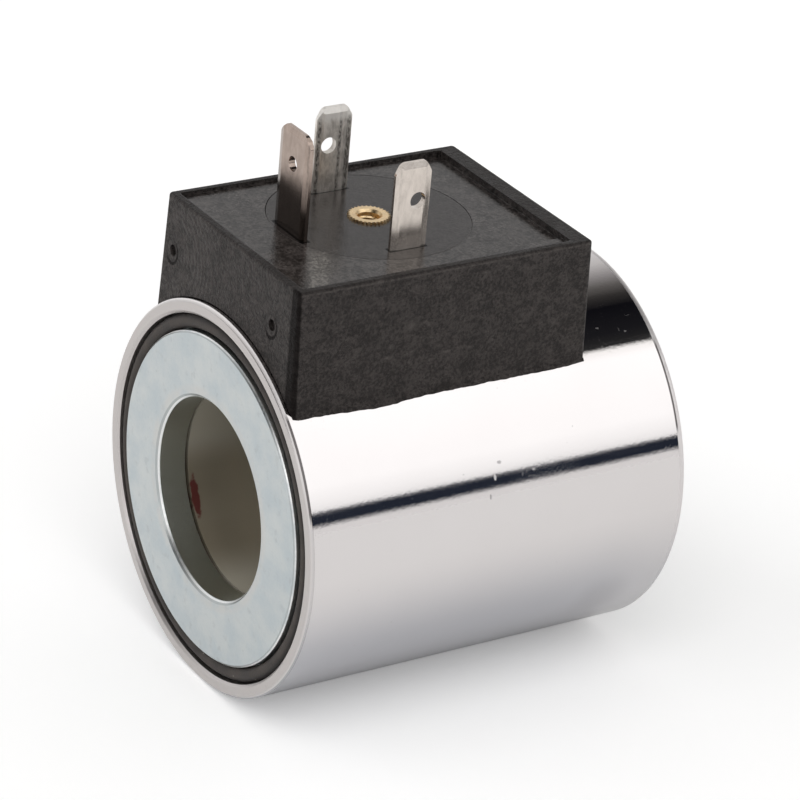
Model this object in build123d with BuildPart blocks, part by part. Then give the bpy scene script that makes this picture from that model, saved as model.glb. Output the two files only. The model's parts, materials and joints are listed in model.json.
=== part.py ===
"""Solenoid valve coil: a steel-cased round coil with a three-blade plug connector block.

The bore runs along Y with the origin at its middle. The connector block stands up along +Z.
The end with the front plate faces -Y. Sizes are in millimetres.
"""
import os
from math import pi, radians, sqrt, tan

from build123d import *

# Shell: a steel tube with a window for the moulding's neck, its radius following from what it holds
shell_length = 49.0
shell_wall = 1.6
shell_front_chamfer = 0.35
shell_rear_radius = 0.9
shell_bore_chamfer = 0.3
window_width = 24.0
window_length = 30.0
window_setback = 3.5
window_corner_radius = 2.0

# Flux plates: stepped discs that close the shell at both ends
bore_diameter = 23.0
plate_thickness = 3.6
plate_rim_thickness = 1.5
plate_edge_chamfer = 0.25
plate_bore_chamfer = 0.4

# Seal rings: rubber cord in the step of each plate
seal_section_diameter = 1.75

# Bobbin: moulded spool
bobbin_wall = 1.2
bobbin_bore_relief = 0.1
flange_thickness = 1.3
flange_edge_chamfer = 0.2
lead_slot_width = 1.1

# Winding and its tape, wound a little below the flanges' rims
winding_build = 5.1
tape_thickness = 0.3
winding_margin = 0.4

# Clearances between parts that are pressed, slipped or seated together
press_gap = 0.1
seat_gap = 0.05
end_gap = 0.25
bobbin_gap = 0.45

# Moulded body: sleeve round the winding
moulded_wall = 2.05

# Connector block, its height taken from the shell's crown
block_width = 28.6
block_front_setback = 1.0
block_length = 37.2
block_height = 8.6
block_side_draft = 2.4
block_front_draft = 1.4
block_rear_draft = 0.5
block_corner_radius = 0.5
block_top_radius = 0.35
recess_depth = 0.4
rim_side = 0.95
rim_front = 0.95
rim_rear = 2.4
recess_corner_radius = 0.4
rear_field_length = 5.2
rear_field_inset = 1.75
rear_field_depth = 0.35

# Pin marks left by the mould on the front of the block, measured down from its top
pin_mark_diameter = 1.3
pin_mark_depth = 0.5
pin_mark_left_x = -12.2
pin_mark_left_drop = 6.2
pin_mark_right_x = 9.4
pin_mark_right_drop = 5.7

# Terminal carrier: pre-moulded disc that holds the blades and the nut, set back from the block's front
carrier_x = -1.15
carrier_setback = 17.85
carrier_diameter = 22.7
carrier_thickness = 3.0
carrier_boss_diameter = 7.2
carrier_boss_depth = 7.0
carrier_edge_chamfer = 0.05

# Line terminals: two blades that face each other, a little off the carrier's middle
contact_pitch = 16.5
contact_x = -0.75
contact_setback = 17.35
line_blade_width = 4.5
line_blade_height = 10.1
line_hole_diameter = 1.9
line_hole_height = 5.6
line_hole_offset = 0.65
line_tip_width = 2.8
line_tip_height = 1.3

# Ground terminal: a wider and taller blade across the other two
ground_distance = 9.65
ground_blade_width = 6.3
ground_blade_height = 11.95
ground_hole_diameter = 1.7
ground_hole_height = 8.0
ground_tip_width = 3.9
ground_tip_height = 1.1

# What all blades share, their tails ending this far above the shell's crown
blade_thickness = 0.8
coin_width = 0.85
coin_depth = 0.22
tip_bevel = 0.2
tip_bevel_length = 0.7
tip_corner_radius = 0.6
blade_seat_depth = 1.0
line_tail_width = 1.6
ground_tail_width = 4.0
line_tail_clearance = 0.7
ground_tail_clearance = 1.9

# Nut for the plug's screw
screw_core_diameter = 2.5
insert_body_diameter = 4.0
insert_groove_diameter = 3.5
insert_groove_width = 1.0
insert_length = 6.0
insert_flange_diameter = 4.8
insert_flange_root_diameter = 4.3
insert_flange_thickness = 0.6
insert_flange_proud = 0.25
insert_teeth = 30
insert_countersink_diameter = 3.0

# Leads, sleeves and solder joints
lead_diameter = 0.5
lead_bend_radius = 0.9
sleeve_wall = 0.2
start_run_clearance = 0.4
solder_diameter = 2.4
solder_height = 1.5

# Ground strap and its rivet
strap_width = 3.6
strap_thickness = 0.5
strap_bend_radius = 0.7
strap_foot_lap = 2.0
rivet_diameter = 1.2
rivet_head_diameter = 2.2
rivet_head_height = 0.4

# Radii, from the bore outwards to the shell
bore_radius = bore_diameter / 2
bobbin_bore_radius = bore_radius + bobbin_bore_relief
bobbin_tube_radius = bobbin_bore_radius + bobbin_wall
winding_inner_radius = bobbin_tube_radius + seat_gap
winding_radius = winding_inner_radius + winding_build
tape_inner_radius = winding_radius + seat_gap
tape_radius = tape_inner_radius + tape_thickness
flange_radius = tape_radius + winding_margin
sleeve_radius = flange_radius + seat_gap + moulded_wall
shell_bore_radius = sleeve_radius + press_gap
shell_radius = shell_bore_radius + shell_wall

# Stations along the bore and heights above it
shell_end = shell_length / 2
plate_inner_face = shell_end - plate_thickness
plate_rim_radius = shell_bore_radius - press_gap
plate_face_radius = shell_bore_radius - seal_section_diameter - 2 * press_gap
bobbin_end = plate_inner_face - bobbin_gap
sleeve_end = plate_inner_face - seat_gap
flange_inner_face = bobbin_end - flange_thickness
winding_end = flange_inner_face - seat_gap
saddle_radius = shell_radius + press_gap
window_front = -shell_end + window_setback
window_middle = window_front + window_length / 2
neck_width = window_width - 2 * press_gap
neck_length = window_length - 2 * press_gap
block_front = -shell_end + block_front_setback
block_rear = block_front + block_length
block_root = shell_radius / 2
block_top = shell_radius + block_height
recess_floor = block_top - recess_depth
recess_width = block_width - 2 * rim_side
rear_field_width = recess_width - rear_field_inset
carrier_bottom = recess_floor - carrier_thickness
carrier_radius = carrier_diameter / 2
carrier_y = block_front + carrier_setback
contact_y = block_front + contact_setback
line_left_x = contact_x - contact_pitch / 2
line_right_x = contact_x + contact_pitch / 2
ground_y = contact_y - ground_distance
insert_top = recess_floor + insert_flange_proud
insert_bottom = insert_top - insert_length
line_tail_end = shell_radius + line_tail_clearance
ground_tail_end = shell_radius + ground_tail_clearance
strap_top = carrier_bottom - end_gap
rivet_height = (ground_tail_end + strap_top) / 2
start_lead_x = -window_width / 2 + window_corner_radius
start_lead_y = -flange_inner_face - flange_thickness / 2
start_run_height = shell_radius + start_run_clearance
lead_radius = lead_diameter / 2
sleeve_bore_radius = lead_radius + seat_gap
sleeve_outer_radius = sleeve_bore_radius + sleeve_wall

os.makedirs("parts", exist_ok=True)


def save(piece, name):
    """Label a finished piece and write it under its own name."""
    piece.label = name
    export_step(piece, f"parts/{name}.step")


def height_on_cylinder(radius, x):
    """Height above the bore's axis at which a cylinder about it stands over x."""
    return sqrt(radius**2 - x**2)


# Shell
with BuildPart() as shell:
    with BuildSketch(Plane.XZ.offset(-shell_end)):
        Circle(shell_radius)
        Circle(shell_bore_radius, mode=Mode.SUBTRACT)
    extrude(amount=shell_length)
    ends = shell.edges().filter_by(GeomType.CIRCLE).group_by(Axis.Y)
    front_edges = ends[0].sort_by(SortBy.RADIUS)
    rear_edges = ends[-1].sort_by(SortBy.RADIUS)
    chamfer([front_edges[0], rear_edges[0]], shell_bore_chamfer)
    chamfer(front_edges[-1], shell_front_chamfer)
    fillet(rear_edges[-1], shell_rear_radius)
    with BuildSketch(Plane.XY):
        with Locations((0, window_middle)):
            RectangleRounded(window_width, window_length, window_corner_radius)
    extrude(amount=shell_radius, mode=Mode.SUBTRACT)
save(shell.part, "shell")


def flux_plate(side):
    """Stepped disc whose face lies flush with the shell's end; side is -1 in front and 1 behind."""
    face = side * shell_end
    step = side * (plate_inner_face + plate_rim_thickness)
    inner = side * plate_inner_face
    with BuildPart() as plate:
        with BuildSketch(Plane.XY):
            with BuildLine():
                Polyline(
                    (bore_radius, face),
                    (plate_face_radius, face),
                    (plate_face_radius, step),
                    (plate_rim_radius, step),
                    (plate_rim_radius, inner),
                    (bore_radius, inner),
                    close=True,
                )
            make_face()
        revolve(axis=Axis.Y)
        rims = plate.edges().filter_by(GeomType.CIRCLE).group_by(Axis.Y)
        face_rims = (rims[0] if side < 0 else rims[-1]).sort_by(SortBy.RADIUS)
        chamfer(face_rims[0], plate_bore_chamfer)
        chamfer(face_rims[-1], plate_edge_chamfer)
    return plate.part


save(flux_plate(-1), "front_plate")
save(flux_plate(1), "rear_plate")


def seal_ring(side):
    """Cord ring that lies on the plate's step, midway between the plate and the shell."""
    middle_radius = (plate_face_radius + shell_bore_radius) / 2
    seat = plate_inner_face + plate_rim_thickness + seat_gap
    with BuildPart() as ring:
        with BuildSketch(Plane.XY):
            with Locations((middle_radius, side * (seat + seal_section_diameter / 2))):
                Circle(seal_section_diameter / 2)
        revolve(axis=Axis.Y)
    return ring.part


save(seal_ring(-1), "front_seal_ring")
save(seal_ring(1), "rear_seal_ring")

# Bobbin, with a slot in its front flange for the start of the winding
with BuildPart() as bobbin:
    with BuildSketch(Plane.XY):
        with BuildLine():
            Polyline(
                (bobbin_bore_radius, -bobbin_end),
                (flange_radius, -bobbin_end),
                (flange_radius, -flange_inner_face),
                (bobbin_tube_radius, -flange_inner_face),
                (bobbin_tube_radius, flange_inner_face),
                (flange_radius, flange_inner_face),
                (flange_radius, bobbin_end),
                (bobbin_bore_radius, bobbin_end),
                close=True,
            )
        make_face()
    revolve(axis=Axis.Y)
    rims = bobbin.edges().filter_by(GeomType.CIRCLE).group_by(SortBy.RADIUS)[-1]
    chamfer(rims, flange_edge_chamfer)
    slot_root = height_on_cylinder(bobbin_tube_radius + bobbin_wall, start_lead_x)
    with BuildSketch(Plane.XY.offset(slot_root)):
        with Locations((start_lead_x, start_lead_y)):
            Rectangle(lead_slot_width, 2 * flange_thickness)
    extrude(amount=flange_radius, mode=Mode.SUBTRACT)
save(bobbin.part, "bobbin")

# Winding
with BuildPart() as winding:
    with BuildSketch(Plane.XZ.offset(-winding_end)):
        Circle(winding_radius)
        Circle(winding_inner_radius, mode=Mode.SUBTRACT)
    extrude(amount=2 * winding_end)
save(winding.part, "winding")

# Finish lead: from the top layer of the winding straight up to the right line terminal
finish_lead_foot = height_on_cylinder(winding_radius, line_right_x - lead_radius) + seat_gap
with BuildPart() as finish_lead:
    with BuildSketch(Plane.XY.offset(finish_lead_foot)):
        with Locations((line_right_x, contact_y)):
            Circle(lead_radius)
    extrude(amount=line_tail_end - seat_gap - finish_lead_foot)
save(finish_lead.part, "finish_lead")

# Start lead: up through the flange slot, then back to the left line terminal
start_lead_foot = slot_root + seat_gap + lead_radius
start_lead_end = contact_y - line_tail_width / 2 - seat_gap
start_lead_z = start_run_height + lead_bend_radius
with BuildPart() as start_lead:
    with BuildLine() as start_route:
        FilletPolyline(
            (start_lead_x, start_lead_y, start_lead_foot),
            (start_lead_x, start_lead_y, start_lead_z),
            (line_left_x, start_lead_end, start_lead_z),
            radius=lead_bend_radius,
        )
    with BuildSketch(Plane.XY.offset(start_lead_foot)):
        with Locations((start_lead_x, start_lead_y)):
            Circle(lead_radius)
    sweep(path=start_route.wires()[0])
save(start_lead.part, "start_lead")


def lead_sleeve(x, y, bottom, top):
    """Insulating sleeve on the upright run of a lead."""
    with BuildPart() as sleeve:
        with BuildSketch(Plane.XY.offset(bottom)):
            with Locations((x, y)):
                Circle(sleeve_outer_radius)
                Circle(sleeve_bore_radius, mode=Mode.SUBTRACT)
        extrude(amount=top - bottom)
    return sleeve.part


start_sleeve_bottom = height_on_cylinder(flange_radius, start_lead_x) + end_gap
finish_sleeve_bottom = height_on_cylinder(tape_radius, line_right_x - sleeve_outer_radius) + end_gap
start_sleeve = lead_sleeve(start_lead_x, start_lead_y, start_sleeve_bottom, start_run_height)
finish_sleeve = lead_sleeve(line_right_x, contact_y, finish_sleeve_bottom, line_tail_end - solder_height)
save(start_sleeve, "start_sleeve")
save(finish_sleeve, "finish_sleeve")

# Tape over the winding, with a hole where the finish lead comes out
with BuildPart() as winding_tape:
    with BuildSketch(Plane.XZ.offset(-winding_end)):
        Circle(tape_radius)
        Circle(tape_inner_radius, mode=Mode.SUBTRACT)
    extrude(amount=2 * winding_end)
    with BuildSketch(Plane.XY):
        with Locations((line_right_x, contact_y)):
            Circle(sleeve_outer_radius)
    extrude(amount=shell_radius, mode=Mode.SUBTRACT)
save(winding_tape.part, "winding_tape")


def coined_section(width):
    """Section of a blade, rolled thin along both long edges."""
    half_width = width / 2
    half_thickness = blade_thickness / 2
    edge_half = half_thickness - coin_depth
    flat_half = half_width - coin_width
    with BuildSketch() as section:
        with BuildLine():
            Polyline(
                (half_thickness, -flat_half),
                (half_thickness, flat_half),
                (edge_half, half_width),
                (-edge_half, half_width),
                (-half_thickness, flat_half),
                (-half_thickness, -flat_half),
                (-edge_half, -half_width),
                (edge_half, -half_width),
                close=True,
            )
        make_face()
    return section.sketch


def blade(
    width, height, tip_width, tip_height, hole_diameter, hole_height, hole_offset, tail_width, tail_end
):
    """Blade terminal on the Z axis, its width along Y, with a coined head and a narrower tail."""
    tip = recess_floor + height
    shoulder = recess_floor - blade_seat_depth
    with BuildPart() as terminal:
        with BuildSketch(Plane.XY.offset(shoulder)):
            add(coined_section(width))
        extrude(amount=tip - shoulder)
        with BuildSketch(Plane.XY.offset(tail_end)):
            Rectangle(blade_thickness, tail_width)
        extrude(amount=shoulder - tail_end)
        with BuildSketch(Plane.YZ.offset(-blade_thickness)):
            with BuildLine():
                Polyline(
                    (-width / 2, tail_end),
                    (-width / 2, tip - tip_height),
                    (-tip_width / 2, tip),
                    (tip_width / 2, tip),
                    (width / 2, tip - tip_height),
                    (width / 2, tail_end),
                    close=True,
                )
            profile = make_face()
            fillet(profile.vertices().sort_by(Axis.Y)[2:], tip_corner_radius)
            with Locations((hole_offset, recess_floor + hole_height)):
                Circle(hole_diameter / 2, mode=Mode.SUBTRACT)
        extrude(amount=2 * blade_thickness, mode=Mode.INTERSECT)
        with BuildSketch(Plane.XZ.offset(-width / 2)):
            with BuildLine():
                Polyline(
                    (-blade_thickness / 2, tail_end),
                    (-blade_thickness / 2, tip - tip_bevel_length),
                    (tip_bevel - blade_thickness / 2, tip),
                    (blade_thickness / 2 - tip_bevel, tip),
                    (blade_thickness / 2, tip - tip_bevel_length),
                    (blade_thickness / 2, tail_end),
                    close=True,
                )
            make_face()
        extrude(amount=width, mode=Mode.INTERSECT)
    return terminal.part


def line_blade(x, facing):
    """Line terminal at x; facing turns it end for end, so that its hole sits to one side."""
    terminal = blade(
        line_blade_width,
        line_blade_height,
        line_tip_width,
        line_tip_height,
        line_hole_diameter,
        line_hole_height,
        facing * line_hole_offset,
        line_tail_width,
        line_tail_end,
    )
    return Pos(x, contact_y, 0) * terminal


line_terminal_left = line_blade(line_left_x, -1)
line_terminal_right = line_blade(line_right_x, 1)
save(line_terminal_left, "line_terminal_left")
save(line_terminal_right, "line_terminal_right")

# Ground terminal, turned a quarter so that its width lies along X, with a rivet hole in its tail
ground_blank = blade(
    ground_blade_width,
    ground_blade_height,
    ground_tip_width,
    ground_tip_height,
    ground_hole_diameter,
    ground_hole_height,
    0,
    ground_tail_width,
    ground_tail_end,
)
strap_inner_y = ground_y - blade_thickness / 2
strap_outer_y = strap_inner_y - strap_thickness
with BuildPart() as ground_terminal:
    add(Pos(contact_x, ground_y, 0) * Rot(0, 0, 90) * ground_blank)
    with BuildSketch(Plane.XZ.offset(-ground_y - blade_thickness)):
        with Locations((contact_x, rivet_height)):
            Circle(rivet_diameter / 2)
    extrude(amount=2 * blade_thickness, mode=Mode.SUBTRACT)
save(ground_terminal.part, "ground_terminal")

# Ground strap: its foot laps over the front edge of the window and rests on the shell
strap_foot_bottom = shell_radius + seat_gap
strap_foot_middle = strap_foot_bottom + strap_thickness / 2
strap_upright_middle = strap_inner_y - strap_thickness / 2
with BuildPart() as ground_strap:
    with BuildSketch(Plane.YZ.offset(contact_x - strap_width / 2)):
        with BuildLine() as strap_line:
            FilletPolyline(
                (window_front - strap_foot_lap, strap_foot_middle),
                (strap_upright_middle, strap_foot_middle),
                (strap_upright_middle, strap_top),
                radius=strap_bend_radius,
            )
        trace(line_width=strap_thickness)
    extrude(amount=strap_width)
    with BuildSketch(Plane.XZ.offset(-strap_inner_y)):
        with Locations((contact_x, rivet_height)):
            Circle(rivet_diameter / 2)
    extrude(amount=strap_thickness, mode=Mode.SUBTRACT)
save(ground_strap.part, "ground_strap")

# Rivet through the strap and the ground terminal's tail
rivet_front = strap_outer_y - rivet_head_height
rivet_rear = ground_y + blade_thickness / 2 + rivet_head_height
with BuildPart() as ground_rivet:
    with BuildSketch(Plane.XZ.offset(-rivet_rear)):
        with Locations((contact_x, rivet_height)):
            Circle(rivet_diameter / 2)
    extrude(amount=rivet_rear - rivet_front)
    for head in (rivet_front + rivet_head_height, rivet_rear):
        with BuildSketch(Plane.XZ.offset(-head)):
            with Locations((contact_x, rivet_height)):
                Circle(rivet_head_diameter / 2)
        extrude(amount=rivet_head_height)
save(ground_rivet.part, "ground_rivet")


def solder_joint(x, lead):
    """Solder drop round the end of a line terminal's tail and its lead."""
    middle = line_tail_end + solder_height / 2 - lead_diameter
    with BuildPart() as joint:
        with BuildSketch(Plane.XY.offset(middle - solder_height / 2)):
            with Locations((x, contact_y)):
                Circle(solder_diameter / 2)
        extrude(amount=solder_height)
        rims = joint.edges().filter_by(GeomType.CIRCLE)
        fillet(rims, solder_height / 3)
        add(line_terminal_left, mode=Mode.SUBTRACT)
        add(line_terminal_right, mode=Mode.SUBTRACT)
        add(lead, mode=Mode.SUBTRACT)
    return joint.part


start_solder = solder_joint(line_left_x, start_lead.part)
finish_solder = solder_joint(line_right_x, finish_lead.part)
save(start_solder, "start_solder")
save(finish_solder, "finish_solder")

# Nut: serrated flange, grooved body, countersunk thread core
with BuildPart() as screw_insert:
    with BuildSketch(Plane.XY.offset(insert_bottom)):
        with Locations((carrier_x, carrier_y)):
            Circle(insert_body_diameter / 2)
    extrude(amount=insert_length)
    with BuildSketch(Plane.XY.offset(insert_bottom + insert_groove_width)):
        with Locations((carrier_x, carrier_y)):
            Circle(insert_body_diameter / 2)
            Circle(insert_groove_diameter / 2, mode=Mode.SUBTRACT)
    extrude(amount=insert_groove_width, mode=Mode.SUBTRACT)
    tooth_depth = (insert_flange_diameter - insert_flange_root_diameter) / 2
    tooth_width = pi * insert_flange_root_diameter / insert_teeth
    with BuildSketch(Plane.XY.offset(insert_top - insert_flange_thickness)):
        with Locations((carrier_x, carrier_y)):
            Circle(insert_flange_root_diameter / 2)
            with PolarLocations(insert_flange_root_diameter / 2, insert_teeth):
                Polygon(
                    (-tooth_depth, -tooth_width / 2),
                    (tooth_depth, 0),
                    (-tooth_depth, tooth_width / 2),
                    align=None,
                )
    extrude(amount=insert_flange_thickness)
    with Locations((carrier_x, carrier_y, insert_top)):
        CounterSinkHole(screw_core_diameter / 2, insert_countersink_diameter / 2, depth=insert_length)
save(screw_insert.part, "screw_insert")

# Terminal carrier: disc and boss, moulded round the blades and the nut
with BuildPart() as terminal_carrier:
    with BuildSketch(Plane.XY.offset(carrier_bottom)):
        with Locations((carrier_x, carrier_y)):
            Circle(carrier_radius)
    extrude(amount=carrier_thickness)
    chamfer(terminal_carrier.edges().group_by(Axis.Z)[-1], carrier_edge_chamfer)
    with BuildSketch(Plane.XY.offset(recess_floor - carrier_boss_depth)):
        with Locations((carrier_x, carrier_y)):
            Circle(carrier_boss_diameter / 2)
    extrude(amount=carrier_boss_depth - carrier_thickness)
    for moulded_in in (line_terminal_left, line_terminal_right, ground_terminal.part, screw_insert.part):
        add(moulded_in, mode=Mode.SUBTRACT)
    with Locations((carrier_x, carrier_y, insert_top)):
        CounterSinkHole(screw_core_diameter / 2, insert_countersink_diameter / 2, depth=insert_length)
save(terminal_carrier.part, "terminal_carrier")


def block_outline(height):
    """Outline of the connector block at a height, wider towards the shell by its draft."""
    drop = block_top - height
    side_growth = drop * tan(radians(block_side_draft))
    front = block_front - drop * tan(radians(block_front_draft))
    rear = block_rear + drop * tan(radians(block_rear_draft))
    with BuildSketch() as outline:
        with Locations((0, (front + rear) / 2)):
            RectangleRounded(block_width + 2 * side_growth, rear - front, block_corner_radius)
    return outline.sketch


# Moulded body: block and neck above, sleeve round the winding below
with BuildPart() as moulded_body:
    with BuildSketch(Plane.XY.offset(block_root)):
        add(block_outline(block_root))
    with BuildSketch(Plane.XY.offset(block_top)):
        add(block_outline(block_top))
    loft()
    fillet(moulded_body.faces().sort_by(Axis.Z)[-1].edges(), block_top_radius)
    recess_front = block_front + rim_front
    recess_rear = block_rear - rim_rear
    with BuildSketch(Plane.XY.offset(recess_floor)):
        with Locations((0, (recess_front + recess_rear) / 2)):
            RectangleRounded(recess_width, recess_rear - recess_front, recess_corner_radius)
    extrude(amount=recess_depth, mode=Mode.SUBTRACT)
    with BuildSketch(Plane.XY.offset(recess_floor)):
        with Locations((-rear_field_inset / 2, recess_rear - rear_field_length / 2)):
            RectangleRounded(rear_field_width, rear_field_length, recess_corner_radius)
    extrude(amount=-rear_field_depth, mode=Mode.SUBTRACT)
    for mark_x, drop in ((pin_mark_left_x, pin_mark_left_drop), (pin_mark_right_x, pin_mark_right_drop)):
        mark_face = block_front - drop * tan(radians(block_front_draft))
        with BuildSketch(Plane.XZ.offset(-mark_face - pin_mark_depth)):
            with Locations((mark_x, block_top - drop)):
                Circle(pin_mark_diameter / 2)
        extrude(amount=2 * pin_mark_depth, mode=Mode.SUBTRACT)
    with BuildSketch(Plane.XZ.offset(-shell_end)):
        Circle(saddle_radius)
    extrude(amount=shell_length, mode=Mode.SUBTRACT)
    with BuildSketch(Plane.XY):
        with Locations((0, window_middle)):
            RectangleRounded(neck_width, neck_length, window_corner_radius - press_gap)
    extrude(amount=saddle_radius + strap_thickness)
    with BuildSketch(Plane.XZ.offset(-sleeve_end)):
        Circle(sleeve_radius)
    extrude(amount=2 * sleeve_end)
    with BuildSketch(Plane.XY):
        with BuildLine():
            Polyline(
                (0, -shell_end),
                (flange_radius + seat_gap, -shell_end),
                (flange_radius + seat_gap, -flange_inner_face + seat_gap),
                (tape_radius + seat_gap, -flange_inner_face + seat_gap),
                (tape_radius + seat_gap, flange_inner_face - seat_gap),
                (flange_radius + seat_gap, flange_inner_face - seat_gap),
                (flange_radius + seat_gap, shell_end),
                (0, shell_end),
                close=True,
            )
        make_face()
    revolve(axis=Axis.Y, mode=Mode.SUBTRACT)
    with BuildSketch(Plane.XY.offset(carrier_bottom)):
        with Locations((carrier_x, carrier_y)):
            Circle(carrier_radius + seat_gap)
    extrude(amount=carrier_thickness, mode=Mode.SUBTRACT)
    with BuildSketch(Plane.XY.offset(recess_floor - carrier_boss_depth)):
        with Locations((carrier_x, carrier_y)):
            Circle(carrier_boss_diameter / 2)
    extrude(amount=carrier_boss_depth, mode=Mode.SUBTRACT)
    moulded_over = (
        line_terminal_left,
        line_terminal_right,
        ground_terminal.part,
        ground_strap.part,
        ground_rivet.part,
        start_solder,
        finish_solder,
        start_lead.part,
        finish_lead.part,
        start_sleeve,
        finish_sleeve,
    )
    for piece in moulded_over:
        add(piece, mode=Mode.SUBTRACT)
save(moulded_body.part, "moulded_body")
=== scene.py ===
"""Solenoid valve coil: finishes, fine details, studio and camera. Lengths are in metres."""

import json
from math import cos, exp, pi, radians, sin

import bmesh
import bpy
from mathutils import Matrix, Vector, noise

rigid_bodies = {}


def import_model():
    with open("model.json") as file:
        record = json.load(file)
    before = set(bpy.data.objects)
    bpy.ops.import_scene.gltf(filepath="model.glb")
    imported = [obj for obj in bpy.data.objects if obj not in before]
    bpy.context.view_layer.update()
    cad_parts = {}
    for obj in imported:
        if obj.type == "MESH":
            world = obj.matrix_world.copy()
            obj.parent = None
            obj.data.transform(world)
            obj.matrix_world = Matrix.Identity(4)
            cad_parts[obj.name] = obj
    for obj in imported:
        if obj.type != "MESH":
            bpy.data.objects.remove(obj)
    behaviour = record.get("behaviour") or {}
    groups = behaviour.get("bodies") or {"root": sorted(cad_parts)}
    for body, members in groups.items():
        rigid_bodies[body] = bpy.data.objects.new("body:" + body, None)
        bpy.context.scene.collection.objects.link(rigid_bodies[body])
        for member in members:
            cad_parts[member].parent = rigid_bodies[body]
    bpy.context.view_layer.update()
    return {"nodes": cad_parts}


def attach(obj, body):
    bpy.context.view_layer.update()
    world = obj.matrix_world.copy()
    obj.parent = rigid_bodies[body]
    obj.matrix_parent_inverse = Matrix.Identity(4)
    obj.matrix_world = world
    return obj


for spare in list(bpy.data.objects):
    bpy.data.objects.remove(spare)
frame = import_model()

MM = 0.001


def extent(name):
    """Lowest and highest corner of a CAD piece."""
    places = [vertex.co for vertex in frame["nodes"][name].data.vertices]
    low = Vector([min(place[axis] for place in places) for axis in range(3)])
    high = Vector([max(place[axis] for place in places) for axis in range(3)])
    return low, high


# Stations of the coil that finishes and details refer to
SHELL_LOW, SHELL_HIGH = extent("shell")
SHELL_RADIUS = SHELL_HIGH.x
SHELL_FRONT, SHELL_REAR = SHELL_LOW.y, SHELL_HIGH.y
SHELL_BORE_RADIUS = 20.9 * MM
BORE_RADIUS = 11.5 * MM
PLATE_FACE_RADIUS = 18.95 * MM
BOBBIN_FRONT = extent("bobbin")[0].y
BLOCK_TOP = extent("moulded_body")[1].z
BLOCK_HALF = 14.3 * MM
BLOCK_FRONT = SHELL_FRONT + 1.0 * MM
BLOCK_REAR = BLOCK_FRONT + 37.2 * MM
SIDE_DRAFT = 0.042
CARRIER_LOW, CARRIER_HIGH = extent("terminal_carrier")
CARRIER_X = (CARRIER_LOW.x + CARRIER_HIGH.x) / 2
CARRIER_Y = (CARRIER_LOW.y + CARRIER_HIGH.y) / 2
CARRIER_RADIUS = (CARRIER_HIGH.x - CARRIER_LOW.x) / 2
RECESS_FLOOR = CARRIER_HIGH.z
RECESS_HALF = BLOCK_HALF - 0.95 * MM
RECESS_FRONT = BLOCK_FRONT + 0.95 * MM
RECESS_REAR = BLOCK_REAR - 2.4 * MM
TERMINALS = ("line_terminal_left", "line_terminal_right", "ground_terminal")

# Ejector-pin marks in the block's front face: place across, height
PIN_MARKS = ((-12.2 * MM, BLOCK_TOP - 6.2 * MM), (9.4 * MM, BLOCK_TOP - 5.7 * MM))

# Scuffs on the tube: degrees up from +X, place along the bore, width, height, darkness, roughness
SCUFFS = (
    (21.4, -0.97 * MM, 0.22 * MM, 0.45 * MM, 0.30, 0.36),
    (25.2, -0.20 * MM, 0.35 * MM, 0.25 * MM, 0.45, 0.36),
    (16.1, -1.71 * MM, 0.16 * MM, 0.40 * MM, 0.50, 0.36),
    (57.3, 17.16 * MM, 0.30 * MM, 0.16 * MM, 0.45, 0.26),
    (54.7, 20.45 * MM, 0.28 * MM, 0.16 * MM, 0.55, 0.24),
    (55.6, 19.75 * MM, 0.14 * MM, 0.30 * MM, 0.65, 0.22),
    (59.6, 21.70 * MM, 0.60 * MM, 0.05 * MM, 0.60, 0.24),
)

# Scrapes on the block's right side: place along the bore, height, half length, half height, strength
SCRAPES = (
    (-9.3 * MM, 25.1 * MM, 0.9 * MM, 0.9 * MM, 0.50),
    (-12.2 * MM, 21.8 * MM, 1.0 * MM, 0.30 * MM, 0.65),
    (-11.8 * MM, 23.0 * MM, 0.6 * MM, 0.5 * MM, 0.50),
    (-4.6 * MM, 21.2 * MM, 1.0 * MM, 0.30 * MM, 0.60),
    (-1.6 * MM, 21.2 * MM, 0.5 * MM, 0.3 * MM, 0.50),
    (-4.8 * MM, 28.7 * MM, 0.5 * MM, 0.4 * MM, 0.45),
)


# Small helpers that build shader nodes


def new_finish(name):
    """Empty material, its node tree and its shader."""
    finish = bpy.data.materials.new(name)
    finish.use_nodes = True
    tree = finish.node_tree
    return finish, tree, tree.nodes["Principled BSDF"]


def node(tree, kind, **values):
    """Node with its properties set."""
    made = tree.nodes.new("ShaderNode" + kind)
    for name, value in values.items():
        setattr(made, name, value)
    return made


def feed(tree, socket, source):
    """Wire a source into a socket, or set the socket if the source is a plain value."""
    if isinstance(source, bpy.types.NodeSocket):
        tree.links.new(source, socket)
    else:
        socket.default_value = source


def calc(tree, operation, first, second=0.0, third=0.0):
    """Math node on up to three values."""
    made = node(tree, "Math", operation=operation)
    for socket, source in zip(made.inputs, (first, second, third)):
        feed(tree, socket, source)
    return made.outputs[0]


def product(tree, *factors):
    """Product of several masks."""
    result = factors[0]
    for factor in factors[1:]:
        result = calc(tree, "MULTIPLY", result, factor)
    return result


def either(tree, *masks):
    """Largest of several masks."""
    result = masks[0]
    for mask in masks[1:]:
        result = calc(tree, "MAXIMUM", result, mask)
    return result


def unless(tree, mask):
    """1 where a mask is 0, and 0 where it is 1."""
    return calc(tree, "SUBTRACT", 1.0, mask)


def spot(tree):
    """Position on the piece, in metres."""
    return node(tree, "TexCoord").outputs["Object"]


def stretched(tree, place, scale):
    """Position scaled on each axis before a pattern reads it; under 1 draws the pattern out."""
    mapping = node(tree, "Mapping")
    feed(tree, mapping.inputs["Vector"], place)
    mapping.inputs["Scale"].default_value = scale
    return mapping.outputs[0]


def axes(tree, place):
    """X, Y and Z of a position."""
    split = node(tree, "SeparateXYZ")
    feed(tree, split.inputs[0], place)
    return split.outputs[0], split.outputs[1], split.outputs[2]


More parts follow.
